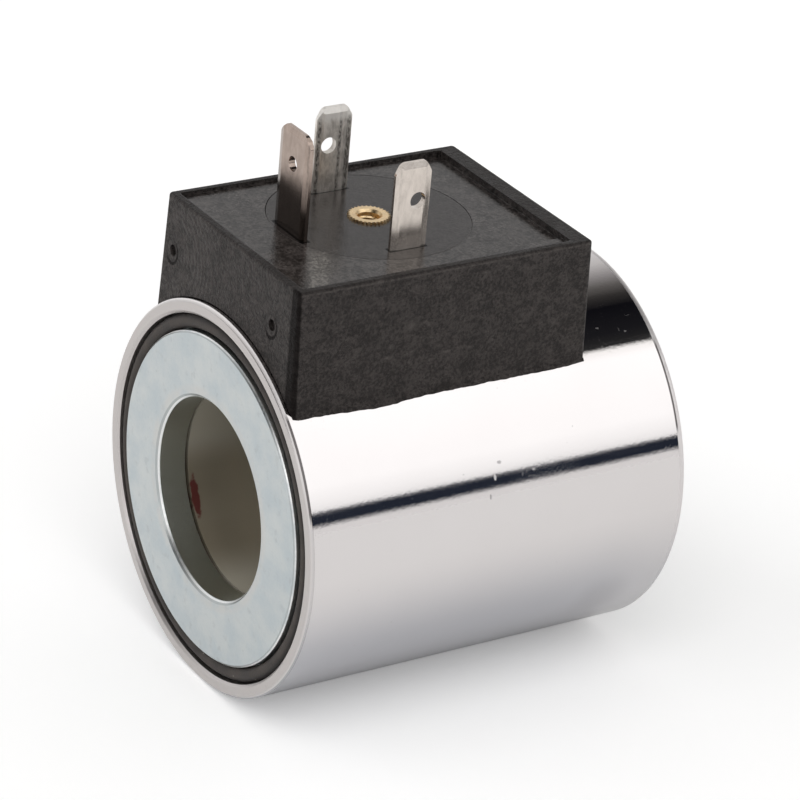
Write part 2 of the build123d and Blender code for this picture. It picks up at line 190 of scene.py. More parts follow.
def mottle(tree, place, size, detail=2.0, roughness=0.5, distortion=0.0):
    """Noise whose blotches are about one size across."""
    pattern = node(tree, "TexNoise")
    feed(tree, pattern.inputs["Vector"], place)
    pattern.inputs["Scale"].default_value = 1 / size
    pattern.inputs["Detail"].default_value = detail
    pattern.inputs["Roughness"].default_value = roughness
    pattern.inputs["Distortion"].default_value = distortion
    return pattern.outputs["Fac"]


def fade(tree, value, low, high, start=0.0, end=1.0):
    """Smooth step from start to end as a value goes from low to high."""
    step = node(tree, "MapRange", interpolation_type="SMOOTHSTEP")
    feed(tree, step.inputs["Value"], value)
    feed(tree, step.inputs["From Min"], low)
    feed(tree, step.inputs["From Max"], high)
    feed(tree, step.inputs["To Min"], start)
    feed(tree, step.inputs["To Max"], end)
    return step.outputs[0]


def band(tree, value, low, high, soft):
    """1 where a value lies between low and high, with soft edges."""
    rise = fade(tree, value, low - soft / 2, low + soft / 2)
    fall = fade(tree, value, high - soft / 2, high + soft / 2, 1.0, 0.0)
    return product(tree, rise, fall)


def reach(tree, place, centre, scale=(1, 1, 1)):
    """Distance from a centre after each axis is scaled; a scale of 0 drops that axis."""
    gap = node(tree, "VectorMath", operation="DISTANCE")
    feed(tree, gap.inputs[0], stretched(tree, place, scale))
    gap.inputs[1].default_value = [part * factor for part, factor in zip(centre, scale)]
    return gap.outputs["Value"]


def from_axis(tree, place):
    """Distance from the axis of the bore."""
    return reach(tree, place, (0, 0, 0), (1, 0, 1))


def tint(tree, factor, first, second):
    """Mix of two colours."""
    mix = node(tree, "Mix", data_type="RGBA")
    feed(tree, mix.inputs["Factor"], factor)
    for socket, source in ((mix.inputs[6], first), (mix.inputs[7], second)):
        feed(tree, socket, (*source, 1.0) if isinstance(source, tuple) else source)
    return mix.outputs[2]


def relief(tree, height, depth, normal=None):
    """Bump from a height of 0 to 1 and its real depth."""
    bump = node(tree, "Bump")
    bump.inputs["Strength"].default_value = 1.0
    bump.inputs["Distance"].default_value = depth
    feed(tree, bump.inputs["Height"], height)
    if normal is not None:
        feed(tree, bump.inputs["Normal"], normal)
    return bump.outputs[0]


def specks(tree, place, spacing, size):
    """Small dots, 1 at their middles, scattered at about a spacing."""
    cells = node(tree, "TexVoronoi")
    feed(tree, cells.inputs["Vector"], place)
    cells.inputs["Scale"].default_value = 1 / spacing
    return fade(tree, cells.outputs["Distance"], size / spacing / 2, size / spacing, 1.0, 0.0)


# Polished tube


def tube_scratches(tree, place):
    """Fine scratches: thinly scattered ones all over, and a finer patch on the right side."""
    patch_middle = (21.0 * MM, 6.0 * MM, 8.0 * MM)
    drawn_out = stretched(tree, place, (0.2, 1.3, 1.3))
    scattered = fade(tree, mottle(tree, drawn_out, 0.4 * MM, 2.0, 0.5, 0.6), 0.64, 0.72)
    scattered = product(tree, scattered, fade(tree, mottle(tree, place, 7 * MM), 0.48, 0.58))
    patch = reach(tree, place, patch_middle, (1, 0.45, 1))
    patch = fade(tree, patch, 1 * MM, 2.6 * MM, 1.0, 0.0)
    fine = mottle(tree, stretched(tree, place, (1, 0.6, 1)), 0.15 * MM, 2.0)
    return scattered, product(tree, patch, fade(tree, fine, 0.38, 0.66))


def tube_scuffs(tree, place, colour):
    """Colour with the scuffs on it, and how rough they are."""
    scuff_grey = (0.25, 0.25, 0.25)
    rubbed = 0.0
    for angle, along, width, height, darkness, roughness in SCUFFS:
        turn = radians(angle)
        centre = (cos(turn) * SHELL_RADIUS, along, sin(turn) * SHELL_RADIUS)
        away = reach(tree, place, centre, (MM / height, MM / width, MM / height))
        ragged = calc(tree, "MULTIPLY_ADD", mottle(tree, place, 0.25 * MM), 0.8 * MM, away)
        mark = fade(tree, ragged, 0.9 * MM, 1.4 * MM, 1.0, 0.0)
        colour = tint(tree, product(tree, mark, darkness), colour, scuff_grey)
        rubbed = either(tree, rubbed, product(tree, mark, roughness))
    return colour, rubbed


def tube_end_shade_lines(tree, x, y, z, radius):
    """Painted shade: thin dark lines along the front chamfer on the right side and along the rear round."""
    rear = product(
        tree,
        band(tree, y, SHELL_REAR - 1.08 * MM, SHELL_REAR - 0.84 * MM, 0.1 * MM),
        band(tree, z, 9 * MM, 17.2 * MM, 1 * MM),
    )
    front = product(
        tree,
        band(tree, y, SHELL_FRONT + 0.18 * MM, SHELL_FRONT + 0.42 * MM, 0.08 * MM),
        fade(tree, x, 0, 2 * MM),
        fade(tree, z, 7.0 * MM, 8.5 * MM, 0.3, 1.0),
        fade(tree, z, 16.6 * MM, 17.4 * MM, 1.0, 0.0),
        fade(tree, radius, SHELL_RADIUS - 0.4 * MM, SHELL_RADIUS - 0.3 * MM),
    )
    return either(tree, rear, front)


def polished_steel():
    """Chromed and polished tube; its end faces and inner edges are matt and turned."""
    finish, tree, shader = new_finish("polished_steel")
    place = spot(tree)
    x, y, z = axes(tree, place)
    radius = from_axis(tree, place)
    chrome, chrome_haze = (0.79, 0.757, 0.752), (0.825, 0.797, 0.792)
    underside_shade_grey, shade_patch_grey, dust_grey = (0.545, 0.545, 0.57), (0.36, 0.35, 0.36), (0.40, 0.39, 0.38)
    turned_grey, shade_line_black, rim_grey = (0.66, 0.625, 0.61), (0.07, 0.06, 0.06), (0.66, 0.63, 0.62)
    shade_patch_middle = (19.3 * MM, 16.2 * MM, -11.6 * MM)

    # Matt faces, and the lips where the polish runs out
    matt_radius = SHELL_BORE_RADIUS + 0.35 * MM
    end_face = fade(tree, calc(tree, "ABSOLUTE", y), SHELL_REAR - 0.12 * MM, SHELL_REAR - 0.04 * MM)
    inner_edge = fade(tree, radius, matt_radius, matt_radius + 0.1 * MM, 1.0, 0.0)
    matt = either(tree, end_face, inner_edge)
    glossy = unless(tree, matt)
    front_lip = fade(tree, y, SHELL_FRONT + 0.30 * MM, SHELL_FRONT + 0.38 * MM, 1.0, 0.0)
    front_lip = product(tree, front_lip, glossy)
    rear_lip = fade(tree, y, SHELL_REAR - 1.10 * MM, SHELL_REAR - 0.95 * MM)
    rear_lip = product(tree, rear_lip, glossy)
    front_rim = product(
        tree,
        fade(tree, radius, SHELL_RADIUS - 0.4 * MM, SHELL_RADIUS - 0.35 * MM),
        fade(tree, y, SHELL_FRONT + 0.16 * MM, SHELL_FRONT + 0.22 * MM, 1.0, 0.0),
    )

    # Colour: hazy chrome with dust and scuffs, painted shade towards the bottom and in a patch low on the
    # +X side, and painted dark lines at the ends
    dust = specks(tree, place, 2.8 * MM, 0.12 * MM)
    haze = mottle(tree, place, 9 * MM, 3.0)
    colour = tint(tree, haze, chrome, chrome_haze)
    # Painted shade: greyer towards the bottom, a little less at the rear end
    painted_underside_shade = product(
        tree,
        fade(tree, z, -11 * MM, 1 * MM, 1.0, 0.0),
        fade(tree, y, 14 * MM, 23 * MM, 1.0, 0.6),
    )
    colour = tint(tree, painted_underside_shade, colour, underside_shade_grey)
    # Painted shade: a dark patch low on the +X side, towards the rear
    painted_shade_patch = fade(tree, reach(tree, place, shade_patch_middle), 1 * MM, 5 * MM, 0.30, 0.0)
    colour = tint(tree, painted_shade_patch, colour, shade_patch_grey)
    colour = tint(tree, product(tree, dust, 0.45), colour, dust_grey)
    colour, rubbed = tube_scuffs(tree, place, colour)
    colour = tint(tree, matt, colour, turned_grey)
    # Painted shade: thin dark lines along the front chamfer and the rear round
    lines = product(tree, tube_end_shade_lines(tree, x, y, z, radius), 0.9)
    colour = tint(tree, lines, colour, shade_line_black)
    colour = tint(tree, front_rim, colour, rim_grey)
    feed(tree, shader.inputs["Base Color"], colour)

    # Gloss
    wipes = mottle(tree, stretched(tree, place, (1, 0.05, 1)), 0.45 * MM, 3.0)
    scattered, patch = tube_scratches(tree, place)
    gloss = fade(tree, wipes, 0.35, 0.75, 0.03, 0.065)
    rougher = (
        (dust, 0.2),
        (scattered, 0.14),
        (rubbed, 1.0),
        (patch, 0.07),
        (matt, 0.34),
        (front_lip, 0.30),
        (rear_lip, 0.42),
    )
    for mask, strength in rougher:
        gloss = calc(tree, "ADD", gloss, product(tree, mask, strength))
    feed(tree, shader.inputs["Roughness"], gloss)
    feed(tree, shader.inputs["Metallic"], fade(tree, front_lip, 0.0, 1.0, 1.0, 0.4))

    # Turning marks on the matt faces, and a slight ripple in the polish
    turning = node(tree, "TexWave", wave_type="RINGS", rings_direction="Y", wave_profile="SIN")
    feed(tree, turning.inputs["Vector"], place)
    turning.inputs["Scale"].default_value = 1 / (0.9 * MM)
    turning.inputs["Distortion"].default_value = 0.6
    lathe = product(tree, turning.outputs["Fac"], matt)
    ripple = product(tree, mottle(tree, place, 0.40 * MM, 2.0, 0.6), unless(tree, rear_lip))
    ripple = relief(tree, ripple, 0.0030 * MM)
    feed(tree, shader.inputs["Normal"], relief(tree, lathe, 0.004 * MM, ripple))
    return finish


# Plates, rings and bobbin


def zinc_plate():
    """Blue-white zinc plating, satin with faint blotches and a few rubs at the rims."""
    finish, tree, shader = new_finish("zinc_plate")
    place = spot(tree)
    y = axes(tree, place)[1]
    radius = from_axis(tree, place)
    blue_zinc, white_zinc = (0.585, 0.645, 0.67), (0.68, 0.715, 0.715)
    rub_grey, rim_grey, bore_grey = (0.47, 0.50, 0.51), (0.69, 0.69, 0.67), (0.635, 0.67, 0.645)
    highlight_white, edge_shade_grey = (0.96, 0.97, 0.96), (0.44, 0.47, 0.47)

    cloud = mottle(tree, place, 4 * MM, 4.0, 0.6)
    grain = mottle(tree, place, 0.3 * MM, 2.0)
    colour = tint(tree, fade(tree, cloud, 0.3, 0.7), blue_zinc, white_zinc)
    rubs = fade(tree, mottle(tree, place, 1.3 * MM, 3.0, 0.6), 0.56, 0.72)
    colour = tint(tree, product(tree, rubs, 0.35), colour, rub_grey)
    rim = product(
        tree,
        fade(tree, radius, BORE_RADIUS + 0.9 * MM, BORE_RADIUS + 1.7 * MM, 1.0, 0.0),
        fade(tree, cloud, 0.35, 0.6, 0.2, 0.7),
    )
    colour = tint(tree, rim, colour, rim_grey)
    bore_wall = fade(tree, radius, BORE_RADIUS, BORE_RADIUS + 0.06 * MM, 1.0, 0.0)
    colour = tint(tree, bore_wall, colour, bore_grey)

    # Painted highlights on the chamfers, with a painted dark line beside each, at the plate's rim and at
    # the bore
    rim_chamfer = product(
        tree,
        fade(tree, radius, PLATE_FACE_RADIUS - 0.15 * MM, PLATE_FACE_RADIUS - 0.11 * MM),
        fade(tree, cloud, 0.40, 0.55, 0.3, 1.0),
    )
    bore_chamfer = band(tree, radius, BORE_RADIUS + 0.04 * MM, BORE_RADIUS + 0.20 * MM, 0.06 * MM)
    bore_line = band(tree, radius, BORE_RADIUS + 0.20 * MM, BORE_RADIUS + 0.42 * MM, 0.04 * MM)
    rim_line = band(tree, radius, PLATE_FACE_RADIUS - 0.25 * MM, PLATE_FACE_RADIUS - 0.13 * MM, 0.04 * MM)
    outer_face = fade(tree, calc(tree, "ABSOLUTE", y), SHELL_REAR - 0.5 * MM, SHELL_REAR - 0.4 * MM)
    bright = product(tree, either(tree, rim_chamfer, bore_chamfer), outer_face)
    painted_edge_shade = product(tree, either(tree, bore_line, rim_line), outer_face, 0.6)
    # Painted highlight on the chamfers, then painted shade in the lines beside them
    colour = tint(tree, bright, colour, highlight_white)
    colour = tint(tree, painted_edge_shade, colour, edge_shade_grey)

    feed(tree, shader.inputs["Base Color"], colour)
    shader.inputs["Metallic"].default_value = 1.0
    feed(tree, shader.inputs["Roughness"], fade(tree, grain, 0.3, 0.7, 0.28, 0.40))
    feed(tree, shader.inputs["Normal"], relief(tree, grain, 0.006 * MM))
    return finish


def seal_rubber():
    """Dusty black-brown rubber, with painted shade where it meets the shell."""
    finish, tree, shader = new_finish("seal_rubber")
    place = spot(tree)
    rubber, bloomed = (0.020, 0.0150, 0.0130), (0.054, 0.044, 0.038)
    crevice_shade_black, dust_and_painted_light_brown = (0.006, 0.005, 0.005), (0.30, 0.27, 0.24)
    bloom = mottle(tree, place, 2.5 * MM, 4.0, 0.6)
    colour = tint(tree, fade(tree, bloom, 0.3, 0.7), rubber, bloomed)
    # Painted shade in the groove next to the shell
    shade_by_shell = from_axis(tree, place)
    shade_by_shell = fade(tree, shade_by_shell, SHELL_BORE_RADIUS - 0.8 * MM, SHELL_BORE_RADIUS - 0.4 * MM, 0.0, 0.7)
    colour = tint(tree, shade_by_shell, colour, crevice_shade_black)
    dust = specks(tree, place, 2.2 * MM, 0.16 * MM)
    colour = tint(tree, product(tree, dust, 0.7), colour, dust_and_painted_light_brown)
    feed(tree, shader.inputs["Base Color"], colour)
    feed(tree, shader.inputs["Roughness"], fade(tree, bloom, 0.3, 0.7, 0.48, 0.62))
    shader.inputs["Specular IOR Level"].default_value = 0.4
    grit = mottle(tree, place, 0.22 * MM, 2.0, 0.6)
    feed(tree, shader.inputs["Normal"], relief(tree, grit, 0.035 * MM))
    return finish


def bobbin_plastic():
    """Brown glass-filled spool plastic, with a red ink mark at the front of its bore, and painted light in
    the bore.
    """
    finish, tree, shader = new_finish("bobbin_plastic")
    place = spot(tree)
    x, y, z = axes(tree, place)
    dark_brown, light_brown = (0.148, 0.126, 0.090), (0.190, 0.166, 0.124)
    deep_light_brown, dust_and_painted_light_brown, red_ink = (0.29, 0.252, 0.188), (0.34, 0.315, 0.26), (0.072, 0.003, 0.003)
    ink_middle = (-10.3 * MM, BOBBIN_FRONT + 0.5 * MM, -5.6 * MM)

    flow = mottle(tree, stretched(tree, place, (1, 0.25, 1)), 2.5 * MM, 4.0)
    colour = tint(tree, flow, dark_brown, light_brown)
    # Painted light: the bore wall gets lighter deeper in
    painted_deep_light = fade(tree, y, BOBBIN_FRONT + 1.95 * MM, BOBBIN_FRONT + 9.45 * MM)
    colour = tint(tree, painted_deep_light, colour, deep_light_brown)
    # Painted light: lighter everywhere except at the bore's lower left
    painted_bore_light = either(tree, fade(tree, z, -3.0 * MM, 2.0 * MM), fade(tree, x, -6.5 * MM, 0.5 * MM))
    colour = tint(tree, painted_bore_light, colour, dust_and_painted_light_brown)
    ink = reach(tree, place, ink_middle, (0.3, 1.9, 0.40))
    ink = calc(tree, "MULTIPLY_ADD", mottle(tree, place, 0.7 * MM), 0.9 * MM, ink)
    ink = fade(tree, ink, 1.20 * MM, 1.55 * MM, 0.92, 0.0)
    feed(tree, shader.inputs["Base Color"], tint(tree, ink, colour, red_ink))
    feed(tree, shader.inputs["Roughness"], fade(tree, flow, 0.3, 0.7, 0.46, 0.58))
    grain = mottle(tree, place, 0.25 * MM)
    feed(tree, shader.inputs["Normal"], relief(tree, grain, 0.008 * MM))
    return finish


# Black moulding


def recess(tree, x, y, z):
    """1 inside the recess in the block's top."""
    return product(
        tree,
        band(tree, x, -RECESS_HALF, RECESS_HALF, 0.2 * MM),
        band(tree, y, RECESS_FRONT, RECESS_REAR, 0.2 * MM),
        fade(tree, z, RECESS_FLOOR - 0.9 * MM, RECESS_FLOOR - 0.8 * MM),
    )


def pin_rings(tree, place, x, z, leather):
    """Uneven rings round the ejector-pin marks, fainter at their upper left."""
    rings = 0.0
    for mark_x, mark_z in PIN_MARKS:
        centre = (mark_x - 0.15 * MM, 0, mark_z - 0.15 * MM)
        away = reach(tree, place, centre, (1, 0, 0.85))
        away = calc(tree, "MULTIPLY_ADD", leather, 0.7 * MM, away)
        ring = band(tree, away, 1.38 * MM, 1.70 * MM, 0.15 * MM)
        slant = calc(tree, "SUBTRACT", x, z)
        middle = mark_x - mark_z
        worn = fade(tree, slant, middle - 1.2 * MM, middle + 1.2 * MM, 0.35, 1.0)
        rings = calc(tree, "ADD", rings, product(tree, ring, worn))
    return rings


def pin_arcs(tree, place, cloud, leather):
    """Flow lines of the plastic that curve round the left ejector-pin mark."""
    arc_spacing = 0.75 * MM
    mark_x, mark_z = PIN_MARKS[0]
    away = reach(tree, place, (mark_x, 0, mark_z), (1, 0, 1))
    waves = calc(tree, "MULTIPLY", away, 2 * pi / arc_spacing)
    waves = calc(tree, "SINE", calc(tree, "MULTIPLY_ADD", cloud, 9.0, waves))
    near = band(tree, away, 3.0 * MM, 9.0 * MM, 2.5 * MM)
    return product(
        tree,
        calc(tree, "MULTIPLY_ADD", waves, 0.5, 0.5),
        near,
        fade(tree, leather, 0.35, 0.6),
    )


def side_scrapes(tree, place, x, grain, colour):
    """Colour with the scrapes on the block's right side."""
    scraped = (0.105, 0.093, 0.087)
    right_side = fade(tree, x, BLOCK_HALF - 0.5 * MM, BLOCK_HALF - 0.3 * MM)
    for along, height, half_length, half_height, strength in SCRAPES:
        away = reach(tree, place, (0, along, height), (0, MM / half_length, MM / half_height))
        ragged = calc(tree, "MULTIPLY_ADD", grain, 2.6 * MM, away)
        mark = fade(tree, ragged, 1.3 * MM, 2.2 * MM, 1.0, 0.0)
        colour = tint(tree, product(tree, mark, right_side, strength), colour, scraped)
    return colour


def painted_floor_highlight(tree, x, y, streaks, inside):
    """Painted highlight: a pale patch on the recess floor, in front of the right blade."""
    across = calc(tree, "MULTIPLY_ADD", x, 0.58, y)
    along = calc(tree, "MULTIPLY_ADD", y, -0.38, x)
    return product(
        tree,
        band(tree, across, -14.0 * MM, -11.6 * MM, 0.9 * MM),
        fade(tree, along, 10.4 * MM, 13.0 * MM),
        fade(tree, streaks, 0.42, 0.60, 0.15, 0.65),
        inside,
    )


def black_moulding():
    """Black moulding: eroded skin outside, smoother in the top recess, marks round the pins."""
    finish, tree, shader = new_finish("moulded_plastic")
    place = spot(tree)
    x, y, z = axes(tree, place)
    black, soft_black = (0.0060, 0.0050, 0.0046), (0.0105, 0.0088, 0.0082)
    skin_grey, light_skin_grey = (0.0345, 0.0295, 0.0276), (0.0455, 0.0393, 0.0370)
    fleck_grey, arc_grey, edge_highlight_grey = (0.070, 0.062, 0.058), (0.056, 0.049, 0.046), (0.075, 0.066, 0.061)
    crown_black, deep_black, floor_highlight_grey = (0.010, 0.008, 0.0075), (0.004, 0.003, 0.003), (0.16, 0.15, 0.135)
    outer_specular = 0.33

    # Patterns of the skin
    grain = mottle(tree, place, 0.36 * MM, 3.0, 0.7, 0.4)
    leather = mottle(tree, stretched(tree, place, (1, 0.7, 1.2)), 1.4 * MM, 4.0, 0.72, 0.3)
    cloud = mottle(tree, place, 4 * MM, 4.0, 0.6)
    streaks = calc(tree, "MULTIPLY_ADD", leather, 0.38, product(tree, grain, 0.62))

    # Places on the block
    drop = calc(tree, "SUBTRACT", BLOCK_TOP, z)
    side = calc(tree, "MULTIPLY_ADD", drop, -SIDE_DRAFT, calc(tree, "ABSOLUTE", x))
    front = fade(tree, y, BLOCK_FRONT + 0.15 * MM, BLOCK_FRONT + 0.45 * MM, 1.0, 0.0)
    front_face = product(tree, front, fade(tree, z, 12 * MM, 13 * MM))
    inside = recess(tree, x, y, z)
    outside = unless(tree, inside)
    rings = product(tree, pin_rings(tree, place, x, z, leather), front_face)
    arcs = product(tree, pin_arcs(tree, place, cloud, leather), front_face)
    # Painted shade along the front right corner
    painted_corner_shade = product(
        tree,
        fade(tree, side, BLOCK_HALF - 1.8 * MM, BLOCK_HALF - 1.2 * MM),
        front,
        fade(tree, x, 0.0, 1 * MM),
        outside,
    )

    # Skin, flecks and arcs
    low = tint(tree, fade(tree, cloud, 0.3, 0.7), black, soft_black)
    high = tint(tree, fade(tree, cloud, 0.3, 0.7), skin_grey, light_skin_grey)
    colour = tint(tree, fade(tree, streaks, 0.43, 0.57), low, high)
    flecks = mottle(tree, stretched(tree, place, (1, 0.7, 1)), 0.38 * MM, 2.0)
    flecks = product(tree, fade(tree, flecks, 0.60, 0.68), fade(tree, leather, 0.46, 0.58), 0.6)
    colour = tint(tree, flecks, colour, fleck_grey)
    colour = tint(tree, product(tree, arcs, 0.8), colour, arc_grey)

    # Scrapes, painted highlights just under the top edges of the sides, a darker top, and a painted
    # highlight on the recess floor
    scrapes = mottle(tree, stretched(tree, place, (1, 0.5, 0.8)), 0.55 * MM, 3.0, 0.7, 1.5)
    scrapes = product(
        tree,
        fade(tree, scrapes, 0.60, 0.70),
        fade(tree, mottle(tree, place, 6 * MM), 0.42, 0.60),
        outside,
        0.7,
    )
    colour = tint(tree, scrapes, colour, fleck_grey)
    colour = side_scrapes(tree, place, x, grain, colour)
    # Painted highlight: a broken light line just under the top edges of the sides
    edge = product(
        tree,
        fade(tree, side, BLOCK_HALF - 0.2 * MM, BLOCK_HALF - 0.1 * MM),
        band(tree, z, BLOCK_TOP - 0.44 * MM, BLOCK_TOP - 0.22 * MM, 0.12 * MM),
        fade(tree, mottle(tree, place, 1.1 * MM, 4.0, 0.75), 0.35, 0.62, 0.05, 0.75),
    )
    colour = tint(tree, edge, colour, edge_highlight_grey)
    crown = fade(tree, z, BLOCK_TOP - 0.12 * MM, BLOCK_TOP - 0.06 * MM)
    colour = tint(tree, product(tree, crown, 0.6), colour, crown_black)
    # Painted highlight on the recess floor
    colour = tint(tree, painted_floor_highlight(tree, x, y, streaks, inside), colour, floor_highlight_grey)

    # The pin rings and pits go nearly black, and painted shade darkens the front right corner
    pits = fade(tree, mottle(tree, place, 0.5 * MM, 2.0), 0.36, 0.29)
    pits = product(tree, pits, fade(tree, cloud, 0.38, 0.55))
    for mask, strength in ((rings, 0.9), (painted_corner_shade, 0.8), (pits, 0.8)):
        colour = tint(tree, product(tree, mask, strength), colour, deep_black)
    feed(tree, shader.inputs["Base Color"], colour)

    # Gloss: satin outside, shinier in the recess
    skin = fade(tree, cloud, 0.3, 0.7, 0.46, 0.56)
    polish = fade(tree, leather, 0.35, 0.65, 0.14, 0.22)
    gloss = calc(tree, "ADD", skin, product(tree, inside, calc(tree, "SUBTRACT", polish, skin)))
    feed(tree, shader.inputs["Roughness"], gloss)
    shader.inputs["Specular Tint"].default_value = (1.0, 0.93, 0.90, 1.0)
    gain = calc(tree, "SUBTRACT", fade(tree, streaks, 0.40, 0.60, 0.27, 0.41), outer_specular)
    specular = calc(tree, "MULTIPLY_ADD", inside, gain, outer_specular)
    shaded = fade(tree, either(tree, rings, painted_corner_shade), 0.0, 1.0, 1.0, 0.25)
    feed(tree, shader.inputs["Specular IOR Level"], product(tree, specular, shaded))

    # Relief
    coarse = fade(tree, inside, 0.0, 1.0, 1.0, 0.08)
    coat = relief(tree, product(tree, streaks, coarse), 0.48 * MM)
    marks = calc(tree, "SUBTRACT", product(tree, arcs, 0.9), rings)
    feed(tree, shader.inputs["Normal"], relief(tree, marks, 0.05 * MM, coat))
    return finish


def blade_seat_shade(tree, x, y):
    """1 on the carrier round the feet of the blades, where painted shade goes."""
    margin = 0.165 * MM
    shaded_seats = 0.0
    for terminal in TERMINALS:
        low, high = extent(terminal)
        seat = product(
            tree,
            band(tree, x, low.x - margin, high.x + margin, 0.06 * MM),
            band(tree, y, low.y - margin, high.y + margin, 0.06 * MM),
        )
        shaded_seats = either(tree, shaded_seats, seat)
    return shaded_seats


def carrier_plastic():
    """Smoother black plastic of the carrier, with a pale parting line, a ring-shaped nick and painted shade
    round the feet of the blades.
    """
    finish, tree, shader = new_finish("carrier_plastic")
    place = spot(tree)
    x, y = axes(tree, place)[:2]
    black, soft_black = (0.0075, 0.0062, 0.0058), (0.0120, 0.0100, 0.0094)
    streak_grey, seat_shade_black = (0.022, 0.0185, 0.0175), (0.002, 0.002, 0.002)
    parting_grey, nick_black = (0.05, 0.045, 0.042), (0.004, 0.003, 0.003)
    nick_middle = (-1.8 * MM, -11.0 * MM, RECESS_FLOOR)
    straight_up = (0.0, 0.0, 1.0)

    leather = mottle(tree, place, 0.8 * MM, 3.0, 0.65, 0.8)
    grain = mottle(tree, place, 0.26 * MM, 2.0, 0.65)
    cloud = mottle(tree, place, 4 * MM, 4.0, 0.6)
    streaks = calc(tree, "MULTIPLY_ADD", leather, 0.45, product(tree, grain, 0.55))
    shaded_seats = blade_seat_shade(tree, x, y)
    parting = reach(tree, place, (CARRIER_X, CARRIER_Y, 0), (1, 1, 0))
    parting = fade(tree, parting, CARRIER_RADIUS - 0.08 * MM, CARRIER_RADIUS - 0.04 * MM)
    parting = product(tree, parting, fade(tree, x, -6 * MM, -2 * MM))
    nick = reach(tree, place, nick_middle, (1, 1, 0))
    nick = band(tree, nick, 0.15 * MM, 0.4 * MM, 0.12 * MM)

    colour = tint(tree, fade(tree, cloud, 0.3, 0.7), black, soft_black)
    colour = tint(tree, fade(tree, streaks, 0.40, 0.62), colour, streak_grey)
    # Painted shade round the feet of the blades
    colour = tint(tree, shaded_seats, colour, seat_shade_black)
    colour = tint(tree, product(tree, parting, 0.7), colour, parting_grey)
    colour = tint(tree, nick, colour, nick_black)
    feed(tree, shader.inputs["Base Color"], colour)
    shine = fade(tree, streaks, 0.40, 0.62, 0.24, 0.36)
    shaded = fade(tree, shaded_seats, 0.0, 1.0, 1.0, 0.15)
    feed(tree, shader.inputs["Specular IOR Level"], product(tree, shine, shaded))
    shader.inputs["Specular Tint"].default_value = (1.0, 0.91, 0.88, 1.0)
    feed(tree, shader.inputs["Roughness"], fade(tree, leather, 0.35, 0.65, 0.14, 0.22))
    coat = relief(tree, streaks, 0.034 * MM)
    feed(tree, shader.inputs["Normal"], tint(tree, parting, coat, straight_up))
    return finish


# Blades, nut and the pieces inside


def tinned_blade(name, terminal, light, dark, rough, lines, foot_shade=None, lean=0.0, tip=None):
    """Tin over brass, for one terminal.

    Each of the lines is a painted dark reflection band along the blade: offset from its middle, half width,
    strength.
    The foot is painted shade, brown, near the recess floor: the two heights between which it fades out, and
    its strength.
    The lean tips the normals up, and the tip is the height where the worn end starts.
    Heights are over the recess floor.
    """
    finish, tree, shader = new_finish(name)
    place = spot(tree)
    x, y, z = axes(tree, place)
    band_shade_brown, foot_shade_brown, worn_tin = (0.10, 0.088, 0.078), (0.07, 0.055, 0.048), (0.97, 0.94, 0.89)
    low, high = extent(terminal)
    width_axis = 0 if high.x - low.x > high.y - low.y else 1
    middle = (low[width_axis] + high[width_axis]) / 2
    half_width = (high[width_axis] - low[width_axis]) / 2
    offset = calc(tree, "SUBTRACT", (x, y)[width_axis], middle)

    # Stained tin, with painted dark reflection bands along it
    stains = mottle(tree, stretched(tree, place, (1, 1, 0.45)), 0.9 * MM, 4.0, 0.7, 0.4)
    colour = tint(tree, fade(tree, stains, 0.3, 0.7), dark, light)
    # Painted dark reflection bands along the blade
    for line_offset, half, strength in lines:
        wander = mottle(tree, stretched(tree, place, (0, 0, 1)), 1.5 * MM)
        wander = calc(tree, "MULTIPLY_ADD", wander, 0.3 * MM, offset)
        shifted = line_offset + 0.15 * MM
        line = band(tree, wander, shifted - half, shifted + half, 0.25 * MM)
        patchy = mottle(tree, stretched(tree, place, (1, 1, 0.5)), 0.22 * MM)
        patchy = fade(tree, patchy, 0.35, 0.60, 0.25, 1.0)
        colour = tint(tree, product(tree, line, patchy, strength), colour, band_shade_brown)
    # Painted shade darkening the blade towards its foot
    if foot_shade is not None:
        foot_low, foot_high, strength = foot_shade
        uneven = calc(tree, "MULTIPLY_ADD", stains, 1.2 * MM, z)
        shade = fade(tree, uneven, RECESS_FLOOR + foot_low, RECESS_FLOOR + foot_high, strength, 0.0)
        colour = tint(tree, shade, colour, foot_shade_brown)
    if tip is not None:
        uneven = calc(tree, "MULTIPLY_ADD", stains, 1.0 * MM, z)
        worn = fade(tree, uneven, RECESS_FLOOR + tip, RECESS_FLOOR + tip + 0.8 * MM)
        colour = tint(tree, product(tree, worn, 0.8), colour, worn_tin)
    feed(tree, shader.inputs["Base Color"], colour)
    shader.inputs["Metallic"].default_value = 1.0

    # Drawn surface with rounded coined edges
    drawn = mottle(tree, stretched(tree, place, (1, 1, 0.06)), 0.35 * MM, 2.0)
    feed(tree, shader.inputs["Roughness"], fade(tree, drawn, 0.3, 0.7, rough - 0.01, rough + 0.02))
    flat = half_width - 0.35 * MM
    coat = relief(tree, band(tree, offset, -flat, flat, 0.7 * MM), 0.06 * MM)
    coat = relief(tree, drawn, 0.0007 * MM, coat)
    coat = relief(tree, stains, 0.006 * MM, coat)
    tilt = node(tree, "VectorMath", operation="ADD")
    feed(tree, tilt.inputs[0], coat)
    tilt.inputs[1].default_value = (0, 0, lean)
    feed(tree, shader.inputs["Normal"], tilt.outputs["Vector"])
    return finish


